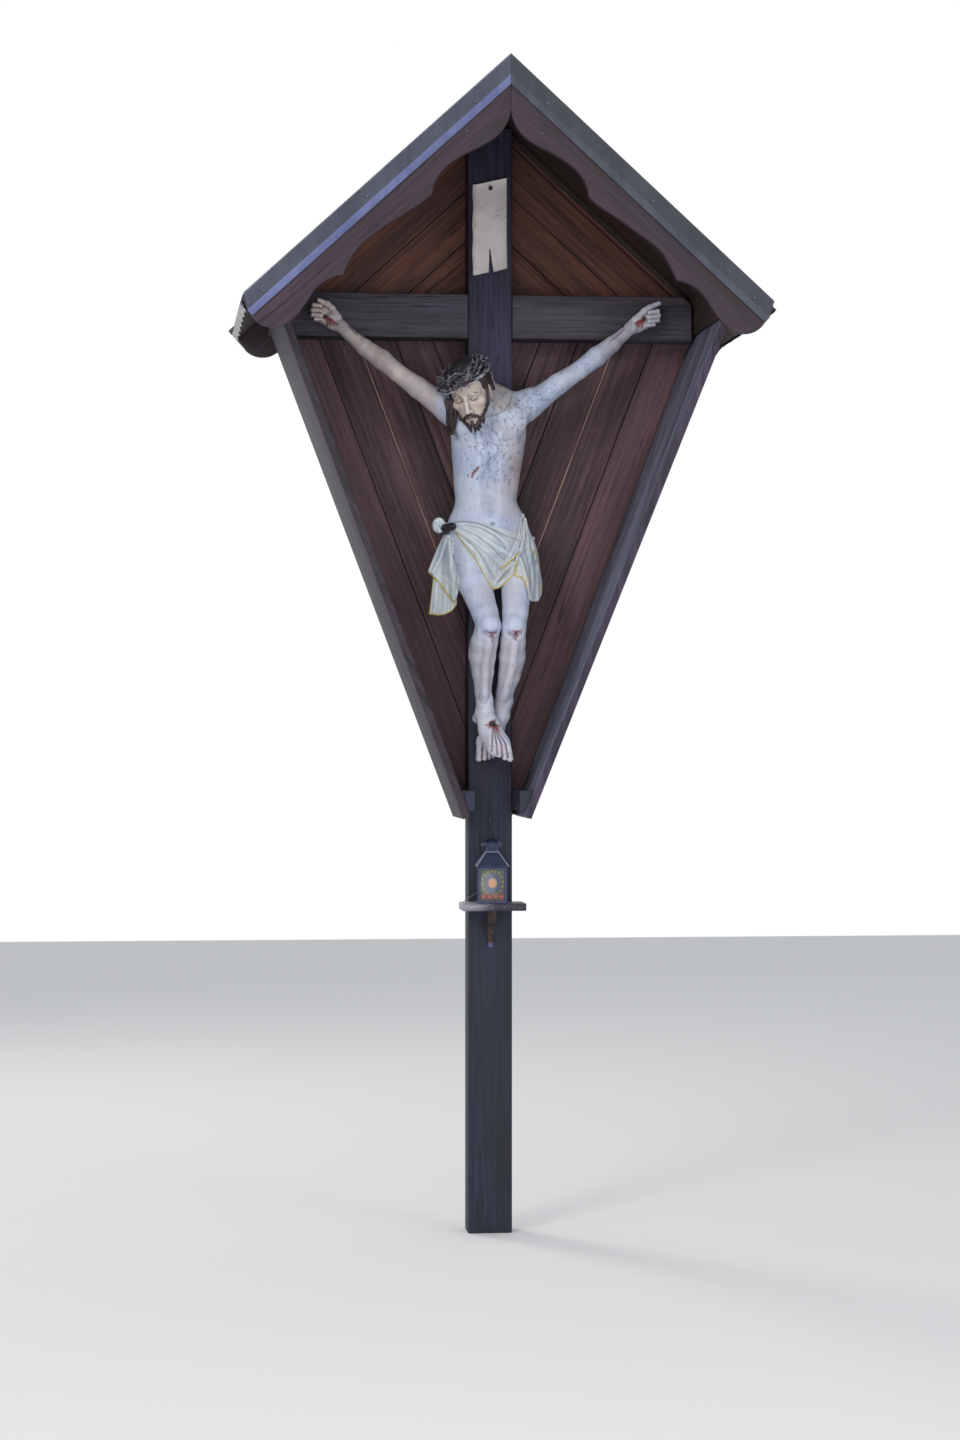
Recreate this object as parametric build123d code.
from build123d import *
import math
import os

# Driving sizes in millimetres. X runs to the viewer's right, the front faces -Y, Z is up.
# The origin is the centre of the post's foot, at ground level.

# Cross
POST_WIDTH = 140
POST_DEPTH = 100
POST_ROOF_GAP = 2
BEAM_HALF_LENGTH = 650
BEAM_HEIGHT = 140
BEAM_MIDDLE = 2913
BEAM_CORNER_CUT = 28
LAP_CLEARANCE = 0.5

# Roof
ROOF_PITCH = 42.35
BEAM_ROOF_GAP = 2
EAVE_OVERHANG = 171.8
ROOF_FRONT_REACH = 552
ROOF_REAR_REACH = 144
VERGE_UPSTAND = 15
SHEET_THICKNESS = 2
SHEET_DRIP = 12
DECK_THICKNESS = 24
DECK_SETBACK = 8
BARGE_THICKNESS = 24
BARGE_DEPTH = 158
VERGE_HEIGHT = 69
VERGE_HEM = 12
VERGE_KICK = 6
VERGE_RETURN = 34
RAFTER_HEIGHT = 24
RAFTER_DEPTH = 30
RIDGE_PURLIN_WIDTH = 50
EAVE_PURLIN_WIDTH = 44
EAVE_PURLIN_HEIGHT = 74.5
PURLIN_GAP = 6
RIDGE_CAP_WIDTH = 90

# Boarding and the slanting sides
BOARD_THICKNESS = 20
LOWER_BOARD_PITCH = 114
GABLE_BOARD_PITCH = 118
GROOVE = 4
SIDE_THICKNESS = 24
SIDE_SLANT = 20.8
SIDE_INSET = 6.3
SIDE_FOOT_GAP = 36.8
SIDE_FRONT_REACH_TOP = 441
SIDE_FRONT_REACH_BOTTOM = 198
BLOCK_RISE = 25
BLOCK_HEIGHT = 64
BLOCK_SETBACK = 2

# Title scroll
SCROLL_WIDTH = 107
SCROLL_HEIGHT = 288
SCROLL_RISE = 24
SCROLL_THICKNESS = 3
SCROLL_WAVE = 7
SCROLL_ABOVE_BEAM = 57
SLIT_WIDTH = 3
SLIT_LENGTH = 85

# Shelf and lantern
SHELF_OVERHANG = 30
SHELF_DEPTH = 130
SHELF_THICKNESS = 24
SHELF_BELOW_SIDES = 266
BRACKET_WIDTH = 30
BRACKET_HEIGHT = 122
LANTERN_WIDTH = 93
LANTERN_BODY = 115
LANTERN_RAIL = 8
LANTERN_SHEET = 2
LANTERN_EAVE = 5
LANTERN_ROOF = 44
CHIMNEY_WIDTH = 40
CHIMNEY_HEIGHT = 20
CHIMNEY_HOLE = 4.4
CAP_WIDTH = 60
CAP_HEIGHT = 24
LANTERN_TURN = -4
LANTERN_ASIDE = -2
LANTERN_STANDOFF = 66
GLASS_THICKNESS = 2
TOUCH = 0.2

# Carved figure, from its hair to its toes
FIGURE_HEIGHT = 1270

# Worked out from the driving sizes
COS = math.cos(math.radians(ROOF_PITCH))
SIN = math.sin(math.radians(ROOF_PITCH))
TAN = SIN / COS
SLANT_TAN = math.tan(math.radians(SIDE_SLANT))
SLANT_COS = math.cos(math.radians(SIDE_SLANT))
SLANT_SIN = math.sin(math.radians(SIDE_SLANT))
POST_FRONT = -POST_DEPTH / 2
POST_BACK = POST_DEPTH / 2
PANEL_BACK = POST_BACK + BOARD_THICKNESS
BEAM_BOTTOM = BEAM_MIDDLE - BEAM_HEIGHT / 2
BEAM_TOP = BEAM_MIDDLE + BEAM_HEIGHT / 2
SHEET_UNDER = VERGE_UPSTAND + SHEET_THICKNESS
DECK_UNDER = SHEET_UNDER + DECK_THICKNESS
RAFTER_UNDER = DECK_UNDER + RAFTER_HEIGHT
RIDGE_HEIGHT = BEAM_TOP + BEAM_ROOF_GAP + BEAM_HALF_LENGTH * TAN + DECK_UNDER / COS
ROOF_SLOPE_LENGTH = (BEAM_HALF_LENGTH + EAVE_OVERHANG) / COS
ROOF_FRONT = POST_FRONT - ROOF_FRONT_REACH
ROOF_REAR = POST_BACK + ROOF_REAR_REACH
BARGE_FRONT = ROOF_FRONT + SHEET_THICKNESS
DECK_FRONT = BARGE_FRONT + BARGE_THICKNESS
BARGE_REAR = ROOF_REAR - SHEET_THICKNESS
DECK_REAR = BARGE_REAR - BARGE_THICKNESS
EAVE_PURLIN_INNER = BEAM_HALF_LENGTH + PURLIN_GAP
EAVE_PURLIN_OUTER = EAVE_PURLIN_INNER + EAVE_PURLIN_WIDTH
SIDE_TOP = RIDGE_HEIGHT - TAN * EAVE_PURLIN_OUTER - DECK_UNDER / COS - EAVE_PURLIN_HEIGHT
SIDE_HALF_WIDTH = EAVE_PURLIN_OUTER - SIDE_INSET
SIDE_BOTTOM = SIDE_TOP - (SIDE_HALF_WIDTH - POST_WIDTH / 2 - SIDE_FOOT_GAP) / SLANT_TAN
SIDE_FRONT_TOP = POST_FRONT - SIDE_FRONT_REACH_TOP
SIDE_FRONT_BOTTOM = POST_FRONT - SIDE_FRONT_REACH_BOTTOM
BLOCK_BOTTOM = SIDE_BOTTOM + BLOCK_RISE
BLOCK_TOP = BLOCK_BOTTOM + BLOCK_HEIGHT
SCROLL_BOTTOM = BEAM_TOP + SCROLL_ABOVE_BEAM
SCROLL_LEFT = -0.4 * POST_WIDTH
SHELF_HALF_WIDTH = POST_WIDTH / 2 + SHELF_OVERHANG
SHELF_TOP = SIDE_BOTTOM - SHELF_BELOW_SIDES
CARVING = FIGURE_HEIGHT / 1270
ROOM = 4 * ROOF_SLOPE_LENGTH


def roof_z(x, below):
    """Height of the plane that lies so far below the verge's top line."""
    return RIDGE_HEIGHT - TAN * abs(x) - below / COS


def on_slope(along, below):
    """Point of the right roof slope, measured down the slope and square to it."""
    return (along * COS - below * SIN, RIDGE_HEIGHT - along * SIN - below * COS)


def side_outer(z):
    """Outer face of the right side board at a height."""
    return SIDE_HALF_WIDTH + (z - SIDE_TOP) * SLANT_TAN


def side_inner(z):
    return side_outer(z) - SIDE_THICKNESS / SLANT_COS


def side_front(z):
    """Front edge of the side boards: they grow deeper towards the roof."""
    share = (z - SIDE_BOTTOM) / (SIDE_TOP - SIDE_BOTTOM)
    return SIDE_FRONT_BOTTOM + share * (SIDE_FRONT_TOP - SIDE_FRONT_BOTTOM)


def plate(points, y_from, y_to):
    """Upright plate: an outline in X and Z, carried from one Y to another."""
    face = make_face(Polyline(*[(x, y_from, z) for x, z in points], close=True))
    return extrude(face, y_to - y_from, dir=(0, 1, 0))


def side_plate(points, x_from, x_to):
    """Upright plate seen from the side: an outline in Y and Z."""
    face = make_face(Polyline(*[(x_from, y, z) for y, z in points], close=True))
    return extrude(face, x_to - x_from, dir=(1, 0, 0))


def right_half():
    return Pos(ROOM / 2, 0, RIDGE_HEIGHT) * Box(ROOM, ROOM, ROOM)


def slope_bar(section, start=-2 * VERGE_HEIGHT, end=ROOF_SLOPE_LENGTH):
    """Bar down the right slope from a (Y, below) section, cut plumb at the ridge."""
    x0, z0 = on_slope(start, 0)
    points = [(x0 - below * SIN, y, z0 - below * COS) for y, below in section]
    bar = extrude(make_face(Polyline(*points, close=True)), end - start, dir=(COS, 0, -SIN))
    return bar & right_half()


def left_of(solid):
    return mirror(solid, about=Plane.YZ)


def box(x, y, z):
    """Box from three (low, high) pairs."""
    size = [b - a for a, b in (x, y, z)]
    middle = [(a + b) / 2 for a, b in (x, y, z)]
    return Pos(*middle) * Box(*size)


nodes = {}


def pair(name, right):
    nodes[name + "_right"] = right
    nodes[name + "_left"] = left_of(right)


# Timber cross: the beam is half lapped behind the post
def cross():
    top = roof_z(POST_WIDTH / 2, DECK_UNDER) - POST_ROOF_GAP
    post = box((-POST_WIDTH / 2, POST_WIDTH / 2), (POST_FRONT, POST_BACK), (0, top))
    notch = box((-POST_WIDTH, POST_WIDTH), (0, POST_DEPTH),
                (BEAM_BOTTOM - LAP_CLEARANCE, BEAM_TOP + LAP_CLEARANCE))
    cut = BEAM_CORNER_CUT
    outline = [(-BEAM_HALF_LENGTH, BEAM_BOTTOM), (BEAM_HALF_LENGTH, BEAM_BOTTOM),
               (BEAM_HALF_LENGTH, BEAM_TOP - cut * TAN), (BEAM_HALF_LENGTH - cut, BEAM_TOP),
               (-BEAM_HALF_LENGTH + cut, BEAM_TOP), (-BEAM_HALF_LENGTH, BEAM_TOP - cut * TAN)]
    beam = plate(outline, POST_FRONT, POST_BACK)
    half = POST_WIDTH / 2 + LAP_CLEARANCE
    lap = box((-half, half), (-POST_DEPTH, 0), (BEAM_BOTTOM - BEAM_HEIGHT, BEAM_TOP + BEAM_HEIGHT))
    nodes["post"] = post - notch
    nodes["cross_beam"] = beam - lap


def ridge_purlin():
    half = RIDGE_PURLIN_WIDTH / 2
    bottom = roof_z(POST_WIDTH / 2, DECK_UNDER) - POST_ROOF_GAP
    outline = [(-half, bottom), (half, bottom), (half, roof_z(half, DECK_UNDER)),
               (0, roof_z(0, DECK_UNDER)), (-half, roof_z(half, DECK_UNDER))]
    return plate(outline, DECK_FRONT, DECK_REAR)


def eave_purlin():
    outline = [(EAVE_PURLIN_INNER, SIDE_TOP), (EAVE_PURLIN_OUTER, SIDE_TOP),
               (EAVE_PURLIN_OUTER, roof_z(EAVE_PURLIN_OUTER, DECK_UNDER)),
               (EAVE_PURLIN_INNER, roof_z(EAVE_PURLIN_INNER, DECK_UNDER))]
    return plate(outline, DECK_FRONT, DECK_REAR)


def rear_rafter():
    """Nailing strip under the roof boards, along the top of the gable boarding."""
    near, far = POST_WIDTH / 2, EAVE_PURLIN_INNER
    outline = [(near, roof_z(near, DECK_UNDER)), (far, roof_z(far, DECK_UNDER)),
               (far, roof_z(far, RAFTER_UNDER)), (near, roof_z(near, RAFTER_UNDER))]
    strip = plate(outline, POST_BACK - RAFTER_DEPTH, POST_BACK)
    return strip & box((0, far), (0, POST_BACK), (BEAM_TOP, RIDGE_HEIGHT))


# Boarding: one field each side of the post, grooved where its boards meet
def groove_line(a, b):
    """V groove along a joint on the front of the boarding."""
    dx, dz = b[0] - a[0], b[1] - a[1]
    length = math.hypot(dx, dz)
    nx, nz = -dz / length * GROOVE / 2, dx / length * GROOVE / 2
    y = POST_BACK
    points = [(a[0] + nx, y - 0.01, a[1] + nz), (a[0] - nx, y - 0.01, a[1] - nz), (a[0], y + GROOVE, a[1])]
    return extrude(make_face(Polyline(*points, close=True)), length, dir=(dx / length, 0, dz / length))


def lower_boards():
    low = SIDE_BOTTOM + GROOVE
    outline = [(0, low), (side_inner(low), low),
               (side_inner(SIDE_TOP), SIDE_TOP), (EAVE_PURLIN_INNER, SIDE_TOP),
               (EAVE_PURLIN_INNER, BEAM_MIDDLE), (0, BEAM_MIDDLE)]
    field = plate(outline, POST_BACK, PANEL_BACK)
    step = LOWER_BOARD_PITCH / SLANT_COS
    top = side_inner(BEAM_MIDDLE) - step
    while top > step / 2:
        field -= groove_line((top, BEAM_MIDDLE), (-GROOVE, BEAM_MIDDLE - (top + GROOVE) / SLANT_TAN))
        top -= step
    return field


def gable_boards():
    outline = [(0, BEAM_MIDDLE), (EAVE_PURLIN_INNER, BEAM_MIDDLE),
               (EAVE_PURLIN_INNER, roof_z(EAVE_PURLIN_INNER, DECK_UNDER)), (0, roof_z(0, DECK_UNDER))]
    field = plate(outline, POST_BACK, PANEL_BACK)
    below = RAFTER_UNDER + GABLE_BOARD_PITCH
    while roof_z(POST_WIDTH, below) > BEAM_TOP and below < RAFTER_UNDER + 3.5 * GABLE_BOARD_PITCH:
        end = (RIDGE_HEIGHT - below / COS - BEAM_MIDDLE) / TAN
        field -= groove_line((0, roof_z(0, below)), (end, BEAM_MIDDLE))
        below += GABLE_BOARD_PITCH
    return field


def side_board():
    cut = SIDE_THICKNESS
    outer = side_outer(SIDE_BOTTOM)
    outline = [(outer, SIDE_BOTTOM), (side_outer(SIDE_TOP), SIDE_TOP), (side_inner(SIDE_TOP), SIDE_TOP),
               (outer - cut * SLANT_COS, SIDE_BOTTOM + cut * SLANT_SIN)]
    slab = plate(outline, SIDE_FRONT_TOP - cut, PANEL_BACK)
    low, high = SIDE_BOTTOM - cut, SIDE_TOP
    depth = [(side_front(low), low), (PANEL_BACK, low), (PANEL_BACK, high), (side_front(high), high)]
    return slab & side_plate(depth, 0, ROOF_SLOPE_LENGTH)


def bottom_block():
    near = POST_WIDTH / 2
    outline = [(near, BLOCK_BOTTOM), (side_inner(BLOCK_BOTTOM), BLOCK_BOTTOM),
               (side_inner(BLOCK_TOP), BLOCK_TOP), (near, BLOCK_TOP)]
    return plate(outline, side_front(BLOCK_BOTTOM) + BLOCK_SETBACK, POST_BACK)


# Roof skin
def deck():
    section = [(DECK_FRONT, SHEET_UNDER), (DECK_REAR, SHEET_UNDER), (DECK_REAR, DECK_UNDER), (DECK_FRONT, DECK_UNDER)]
    return slope_bar(section, end=ROOF_SLOPE_LENGTH - DECK_SETBACK)


def sheet():
    drip = SHEET_DRIP
    top, under = VERGE_UPSTAND, SHEET_UNDER
    section = [(BARGE_FRONT, top), (BARGE_REAR, top), (BARGE_REAR, under), (BARGE_FRONT, under)]
    fold = [(BARGE_FRONT, under), (BARGE_REAR, under), (BARGE_REAR, under + drip), (BARGE_FRONT, under + drip)]
    end = ROOF_SLOPE_LENGTH
    return slope_bar(section) + slope_bar(fold, start=end - SHEET_THICKNESS, end=end)


def verge(face, inward):
    """Folded verge flashing: face leg with a kicked-out hem, top and a leg down to the sheet."""
    t = SHEET_THICKNESS
    back = face + inward * VERGE_RETURN
    bend = VERGE_HEIGHT - VERGE_HEM
    section = [(face, 0), (back, 0), (back, VERGE_UPSTAND), (back - inward * t, VERGE_UPSTAND),
               (back - inward * t, t), (face + inward * t, t), (face + inward * t, bend),
               (face - inward * (VERGE_KICK - t), VERGE_HEIGHT), (face - inward * VERGE_KICK, VERGE_HEIGHT),
               (face, bend)]
    return slope_bar(section)


def ridge_cap():
    t = SHEET_THICKNESS
    half = RIDGE_CAP_WIDTH
    low = VERGE_UPSTAND
    outline = [(0, roof_z(0, low - t)), (half, roof_z(half, low - t)), (half, roof_z(half, low)),
               (0, roof_z(0, low)), (-half, roof_z(half, low)), (-half, roof_z(half, low - t))]
    return plate(outline, ROOF_FRONT + VERGE_RETURN, ROOF_REAR - VERGE_RETURN)


def bargeboard(y_from):
    """Carved board: three lobes between two cusps, then a round nose at the eave."""
    def at(along, deep):
        """Point given as shares of the slope's length and of the board's depth."""
        x, z = on_slope(along * ROOF_SLOPE_LENGTH, deep * BARGE_DEPTH)
        return (x, y_from, z)

    tip, cusp_1, cusp_2, nose = at(0.105, 0.81), at(0.416, 0.987), at(0.7455, 1), at(1, 0.437)
    lobe_1 = Spline(tip, at(0.135, 0.937), at(0.18, 0.994), at(0.234, 0.924), at(0.3085, 0.797),
                    at(0.3705, 0.81), cusp_1)
    lobe_2 = Spline(cusp_1, at(0.45, 0.981), at(0.505, 0.918), at(0.593, 0.829), at(0.666, 0.81),
                    at(0.713, 0.905), cusp_2)
    lobe_3 = Spline(cusp_2, at(0.779, 0.88), at(0.825, 0.854), at(0.865, 0.918), at(0.917, 0.987),
                    at(0.962, 0.937), at(0.991, 0.759), nose)
    top = SHEET_UNDER / BARGE_DEPTH
    ridge = at(SHEET_UNDER * TAN / ROOF_SLOPE_LENGTH, top)
    end = at(1 - DECK_SETBACK / ROOF_SLOPE_LENGTH, top)
    face = make_face([lobe_1, lobe_2, lobe_3] + [Line(nose, end), Line(end, ridge), Line(ridge, tip)])
    return extrude(face, BARGE_THICKNESS, dir=(0, 1, 0)) & right_half()


# Title scroll: a thin, slightly waved sheet nailed to the post, split at the foot
def scroll():
    y = POST_FRONT - SCROLL_THICKNESS
    steps = 6
    wave = [(y - SCROLL_WAVE * (1 - math.cos(math.pi * 2 * i / steps)) / 2,
             SCROLL_BOTTOM + SCROLL_HEIGHT * (1.2 * i / steps - 0.14)) for i in range(steps + 1)]
    outer = Spline(*[(SCROLL_LEFT, a, b) for a, b in wave])
    inner = Spline(*[(SCROLL_LEFT, a + SCROLL_THICKNESS, b) for a, b in wave])
    ends = [Line(outer @ 0, inner @ 0), Line(outer @ 1, inner @ 1)]
    strip = extrude(make_face([outer, inner] + ends), SCROLL_WIDTH, dir=(1, 0, 0))
    right = SCROLL_LEFT + SCROLL_WIDTH
    high = SCROLL_BOTTOM + SCROLL_HEIGHT
    trim = plate([(SCROLL_LEFT, SCROLL_BOTTOM), (right, SCROLL_BOTTOM + SCROLL_RISE),
                  (right, high + SCROLL_RISE), (SCROLL_LEFT, high)], y - SCROLL_WIDTH, y + SCROLL_WIDTH)
    slit_at = SCROLL_LEFT + 0.472 * SCROLL_WIDTH
    slit = box((slit_at - SLIT_WIDTH / 2, slit_at + SLIT_WIDTH / 2), (y - SCROLL_WIDTH, y + SCROLL_WIDTH),
               (SCROLL_BOTTOM - SLIT_LENGTH, SCROLL_BOTTOM + SLIT_LENGTH))
    return (strip & trim) - slit


# Shelf with its bracket
def shelf():
    slab = box((-SHELF_HALF_WIDTH, SHELF_HALF_WIDTH), (POST_FRONT - SHELF_DEPTH, POST_FRONT),
               (SHELF_TOP - SHELF_THICKNESS, SHELF_TOP))
    front = slab.faces().sort_by(Axis.Y)[0].edges().filter_by(Axis.X)
    return fillet(front, SHELF_THICKNESS * 0.4)


def bracket():
    """Console under the shelf with an S-shaped front."""
    half = BRACKET_WIDTH / 2
    top = SHELF_TOP - SHELF_THICKNESS
    reach = SHELF_DEPTH * 0.62

    def at(out, down):
        return (-half, POST_FRONT - out * reach, top - down * BRACKET_HEIGHT)

    front = Spline(at(1, 0.13), at(0.73, 0.344), at(0.3, 0.508), at(0.2, 0.787), at(0, 1))
    edge = [Line(at(0, 1), at(0, 0)), Line(at(0, 0), at(1, 0)), Line(at(1, 0), at(1, 0.13))]
    return extrude(make_face([front] + edge), BRACKET_WIDTH, dir=(1, 0, 0))


# Lantern, built about its own centre line and then stood on the shelf
def lantern():
    w, h, rail, t = LANTERN_WIDTH, LANTERN_BODY, LANTERN_RAIL, LANTERN_SHEET
    body = Pos(0, 0, h / 2) * Box(w, w, h)
    body -= Pos(0, 0, h / 2) * Box(w - 2 * t, w - 2 * t, h - 2 * t)
    hole = Box(w - 2 * rail, 3 * w, h - 2 * rail)
    body -= Pos(0, 0, h / 2) * hole
    body -= Pos(0, 0, h / 2) * Rot(0, 0, 90) * hole
    body -= Pos(0, 0, h) * Box(CHIMNEY_WIDTH - 4 * t, CHIMNEY_WIDTH - 4 * t, 4 * t)
    panes = Pos(0, 0, h / 2) * Box(w - 2 * t - TOUCH, w - 2 * t - TOUCH, h - 4 * t)
    inside = w - 2 * t - 2 * GLASS_THICKNESS
    panes -= Pos(0, 0, h / 2) * Box(inside, inside, h)
    eave = w + 2 * LANTERN_EAVE
    neck = CHIMNEY_WIDTH
    roof = loft([Pos(0, 0, h) * Rectangle(eave, eave), Pos(0, 0, h + LANTERN_ROOF) * Rectangle(neck, neck)])
    roof -= loft([Pos(0, 0, h - t) * Rectangle(eave - 5 * t, eave - 5 * t),
                  Pos(0, 0, h + LANTERN_ROOF + t) * Rectangle(neck - 3 * t, neck - 3 * t)])
    base = h + LANTERN_ROOF
    middle = base + CHIMNEY_HEIGHT / 2
    inner = neck - 2 * t
    chimney = Pos(0, 0, middle) * (Box(neck, neck, CHIMNEY_HEIGHT) - Box(inner, inner, 2 * CHIMNEY_HEIGHT))
    pin = Rot(90, 0, 0) * Cylinder(CHIMNEY_HOLE / 2, 2 * neck)
    for turn in (0, 90):
        for count in range(4):
            chimney -= Rot(0, 0, turn) * Pos((count - 1.5) * neck / 5, 0, middle) * pin
    cap_low = base + CHIMNEY_HEIGHT
    dome = Pos(0, 0, cap_low) * scale(Sphere(CAP_WIDTH / 2), by=(1, 1, 2 * CAP_HEIGHT / CAP_WIDTH))
    cap = dome & (Pos(0, 0, cap_low + w) * Box(2 * w, 2 * w, 2 * w))
    place = Pos(LANTERN_ASIDE, POST_FRONT - LANTERN_STANDOFF, SHELF_TOP) * Rot(0, 0, LANTERN_TURN)
    nodes["lantern_frame"] = place * body
    nodes["lantern_panes"] = place * panes
    nodes["lantern_roof"] = place * (roof + chimney)
    nodes["lantern_cap"] = place * cap


# Figure: lofted masses that meet face to face; the loincloth hides where the legs join
def body_loft(sections):
    """Loft of level ellipses, each given as height, middle X, middle Y, half width, half depth."""
    rings = []
    for section in sections:
        z, x, y, a, b = (CARVING * value for value in section)
        rings.append(Pos(x, y, z) * Ellipse(a, b))
    return loft(rings)


def limb(joints, first=None, last=None):
    """Loft of round sections along a chain of (X, Y, Z, half width, half depth)."""
    rings = []
    for i, (x, y, z, a, b) in enumerate(joints):
        before = joints[max(i - 1, 0)]
        after = joints[min(i + 1, len(joints) - 1)]
        direction = Vector(*(after[k] - before[k] for k in range(3)))
        if first and i == 0:
            direction = Vector(*first)
        if last and i == len(joints) - 1:
            direction = Vector(*last)
        across = Vector(0, 1, 0).cross(direction)
        middle = Vector(x, y, z) * CARVING
        rings.append(Plane(origin=middle, x_dir=across, z_dir=direction) * Ellipse(CARVING * a, CARVING * b))
    return loft(rings)


def figure():
    """Tables for a figure 1270 mm tall, about the point where the beam's middle meets the post's face."""
    waist, hip, drape_low = -651, -763, -893
    torso = body_loft([
        (waist, -20, -72, 114, 68), (-558, -22, -68, 102, 60), (-473, -18, -72, 112, 68),
        (-393, -14, -76, 124, 74), (-323, -14, -72, 128, 70), (-268, -18, -64, 100, 56),
        (-233, -30, -74, 47, 43), (-209, -44, -92, 42, 40)])
    arm_right = limb([
        (112, -62, -291, 40, 44), (150, -60, -265, 38, 38), (210, -62, -219, 34, 33),
        (276, -60, -175, 29, 28), (334, -52, -130, 33, 30), (388, -40, -87, 27, 24),
        (445, -28, -37, 17, 17), (484, -18, -13, 36, 15), (534, -16, 3, 30, 13)])
    arm_left = limb([
        (-140, -62, -303, 40, 44), (-180, -60, -275, 38, 38), (-239, -62, -235, 34, 33),
        (-300, -60, -190, 29, 28), (-350, -54, -148, 33, 30), (-405, -44, -108, 28, 25),
        (-487, -28, -38, 17, 17), (-526, -18, -13, 36, 15), (-574, -16, 5, 30, 13)])
    down = (0, 0, -1)
    leg_left = limb([
        (-76, -80, hip, 58, 58), (-62, -118, -863, 52, 52), (-28, -155, -963, 40, 42),
        (-26, -152, -1008, 38, 40), (-37, -122, -1083, 39, 42), (-33, -100, -1173, 32, 34),
        (-28, -92, -1253, 25, 28), (-8, -96, -1303, 27, 20), (20, -88, -1363, 30, 16),
        (42, -82, -1413, 26, 10)], first=down)
    leg_right = limb([
        (72, -128, drape_low, 44, 46), (62, -150, -963, 38, 42), (60, -150, -1013, 36, 40),
        (58, -115, -1088, 38, 40), (44, -74, -1173, 30, 32), (29, -42, -1253, 22, 26),
        (4, -36, -1303, 26, 18), (-20, -28, -1363, 28, 14), (-32, -24, -1413, 24, 9)], first=down)
    neck = Vector(-80, -158, -258) * CARVING
    bowed = Pos(neck) * Rot(0, 0, -20) * Rot(28, 0, 0) * Rot(0, -10, 0)
    head = bowed * scale(Sphere(92 * CARVING), by=(0.66, 0.82, 1))
    hair = bowed * Pos(Vector(0, 10, 12) * CARVING) * scale(Sphere(98 * CARVING), by=(0.76, 0.84, 0.98))
    twig = Torus(84 * CARVING, 11 * CARVING)
    wreath = bowed * Pos(Vector(0, 4, 44) * CARVING) * scale(twig, by=(0.92, 1.04, 1))
    wrap = body_loft([(hip, -10, -76, 142, 94), (-713, -14, -76, 140, 92), (waist, -20, -74, 124, 74)])
    drape = body_loft([(drape_low, 78, -102, 70, 80), (-823, 70, -94, 78, 90), (hip, 64, -80, 78, 86)])
    tail = limb([(-166, -86, -688, 24, 26), (-178, -88, -793, 30, 26), (-176, -92, -938, 38, 24)])
    torso = torso - head
    arm_left = arm_left - torso
    carved = {"figure_torso": torso, "figure_head": head, "thorn_wreath": wreath,
              "figure_arm_left": arm_left, "figure_arm_right": arm_right - torso,
              "figure_hair": hair - head - torso - arm_left - wreath,
              "figure_leg_left": leg_left, "figure_leg_right": leg_right,
              "loincloth": wrap + drape, "loincloth_tail": tail - wrap}
    behind = box((-ROOM, ROOM), (POST_FRONT, ROOM), (0, ROOM))
    for name, solid in carved.items():
        nodes[name] = Pos(0, POST_FRONT, BEAM_MIDDLE) * solid - behind


cross()
nodes["ridge_purlin"] = ridge_purlin()
pair("eave_purlin", eave_purlin())
pair("rear_rafter", rear_rafter())
pair("lower_boards", lower_boards())
pair("gable_boards", gable_boards() - ridge_purlin())
pair("side_board", side_board())
pair("bottom_block", bottom_block())
pair("roof_deck", deck())
pair("roof_sheet", sheet())
pair("verge_front", verge(ROOF_FRONT, 1))
pair("verge_rear", verge(ROOF_REAR, -1))
nodes["ridge_cap"] = ridge_cap()
pair("bargeboard_front", bargeboard(BARGE_FRONT))
pair("bargeboard_rear", bargeboard(DECK_REAR))
nodes["title_scroll"] = scroll()
nodes["shelf"] = shelf()
nodes["shelf_bracket"] = bracket()
lantern()
figure()

os.makedirs("parts", exist_ok=True)
for name, solid in nodes.items():
    export_step(solid, "parts/" + name + ".step")
    print(name, len(solid.solids()), round(solid.volume / 1e6, 3))
